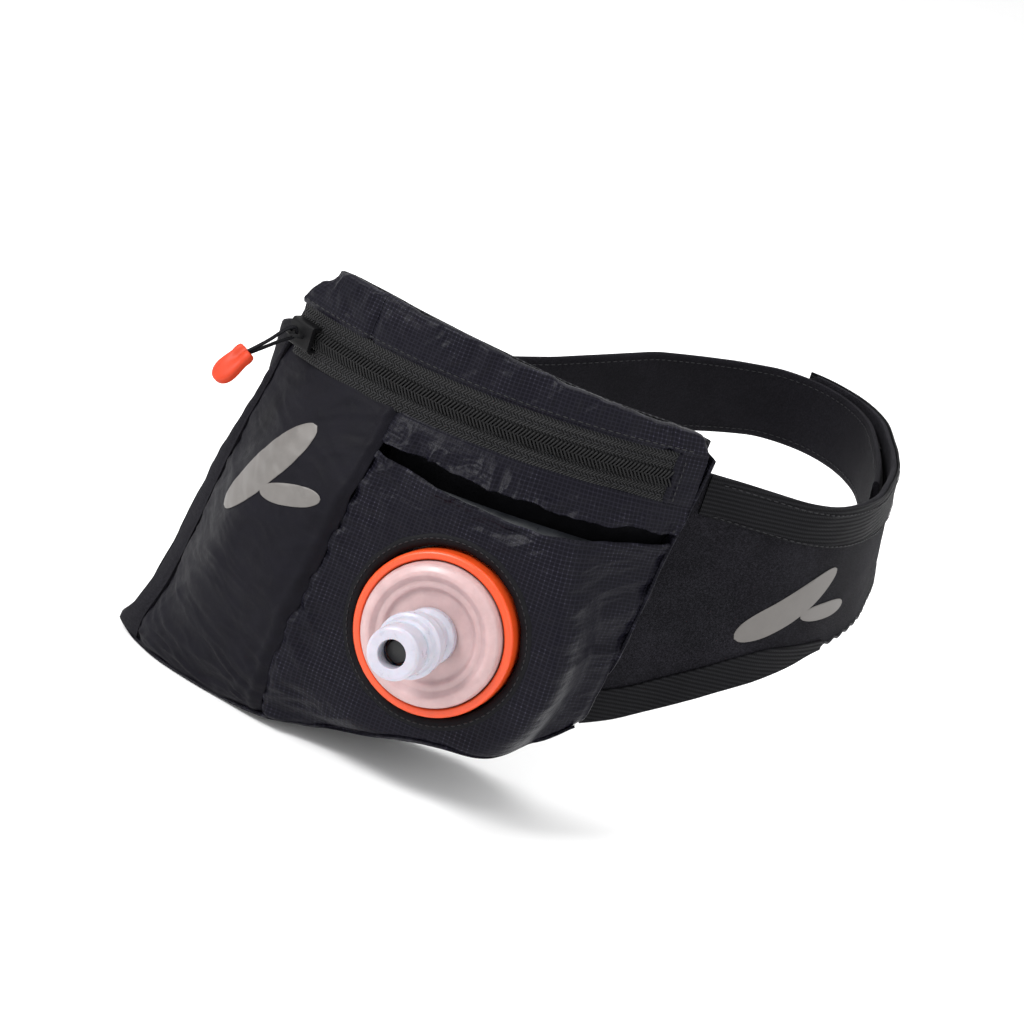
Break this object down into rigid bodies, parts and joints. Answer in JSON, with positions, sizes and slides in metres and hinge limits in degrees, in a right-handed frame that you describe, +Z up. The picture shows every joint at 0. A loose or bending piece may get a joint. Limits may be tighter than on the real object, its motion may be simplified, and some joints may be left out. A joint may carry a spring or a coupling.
{
  "type": "waist pack",
  "caption": "Running waist pack on a wide elastic belt, with a curved zip, a soft flask whose screw cap stands through the front pocket, and a hook-and-loop closure.",
  "frame": {"origin": "under the middle of the whole part in plan, at the level of the flat bottom it stands on", "axes": "+Z up; -Y the way the flask's cap and the pack's front face; +Y across the belt loop towards the wearer's back; +X right seen from the front"},
  "size_m": [0.2262, 0.3238, 0.1589],
  "materials": {
    "back_mesh": "padded spacer mesh",
    "ripstop": "ripstop weave with a slight sheen",
    "side_cloth": "fine plain weave",
    "knit": "stretch knit over foam",
    "elastic": "ribbed elastic tape",
    "zip_tape": "herringbone woven tape",
    "zip_coil": "moulded coil",
    "slider_paint": "black lacquered slider",
    "cord": "braided cord",
    "grip": "moulded satin grip",
    "hook_loop": "hook-and-loop tape",
    "flask_film": "soft translucent film",
    "ring_plastic": "satin orange plastic",
    "cap_plastic": "milky translucent plastic",
    "seal": "soft seal",
    "valve_plastic": "white satin plastic",
    "core_plastic": "black plug",
    "reflective": "grey reflective print"
  },
  "bodies": {
    "pack": {"back_panel": "back_mesh", "side_panel": "side_cloth", "pocket_panel": "ripstop", "hole_binding": "ripstop", "upper_band": "ripstop", "divider": "ripstop", "bottom_gusset": "ripstop", "left_end_panel": "knit", "right_end_panel": "ripstop", "collar_left": "ripstop", "collar_right": "ripstop", "zip_tape_upper": "zip_tape", "zip_tape_lower": "zip_tape", "zip_coil_upper": "zip_coil", "zip_coil_lower": "zip_coil", "zip_end_tab": "ripstop", "right_wing": "knit", "wing_top_binding": "elastic", "wing_bottom_binding": "elastic", "left_belt": "knit", "hook_patch": "hook_loop", "flask_bag": "flask_film", "flask_neck": "cap_plastic", "side_mark": "reflective", "wing_mark": "reflective"},
    "slider": {"zip_slider": "slider_paint", "slider_bail": "slider_paint"},
    "puller": {"puller_cord": "cord", "puller_grip": "grip"},
    "closure_tab": {"right_wing_tip": "knit", "loop_patch": "hook_loop"},
    "cap_seal": {"cap_gasket": "seal"},
    "cap": {"cap_ring": "ring_plastic", "cap_dome": "cap_plastic", "valve_stem": "valve_plastic", "valve_core": "core_plastic"},
    "nozzle": {"valve_nozzle": "valve_plastic"}
  },
  "joints": [
    {"name": "slider_travel", "type": "hinge", "parent": "pack", "child": "slider", "pos_m": [-0.02846, 0.03489, 0.1325], "axis": [0, 0, 1], "range_deg": [0, 54]},
    {"name": "puller_swing", "type": "hinge", "parent": "slider", "child": "puller", "pos_m": [-0.0784, -0.10613, 0.1325], "axis": [-0.9426, 0.3338, 0], "range_deg": [-12, 95]},
    {"name": "closure_peel", "type": "hinge", "parent": "pack", "child": "closure_tab", "pos_m": [0.08892, 0.10728, 0.0965], "axis": [0.1369, 0.0572, -0.9889], "range_deg": [0, 75]},
    {"name": "cap_lift", "type": "slide", "parent": "pack", "child": "cap_seal", "axis": [0.0863, -0.9865, 0.1392], "range_m": [0, 0.006]},
    {"name": "cap_turn", "type": "hinge", "parent": "cap_seal", "child": "cap", "pos_m": [0.00954, -0.12311, 0.0625], "axis": [0.0863, -0.9865, 0.1392], "range_deg": [0, 540]},
    {"name": "nozzle_pull", "type": "slide", "parent": "cap", "child": "nozzle", "axis": [0.0863, -0.9865, 0.1392], "range_m": [-0.0055, 0]}
  ],
  "couplings": [
    {"joint": "cap_turn", "follows": "cap_lift", "rad_per_m": 1570.8}
  ]
}
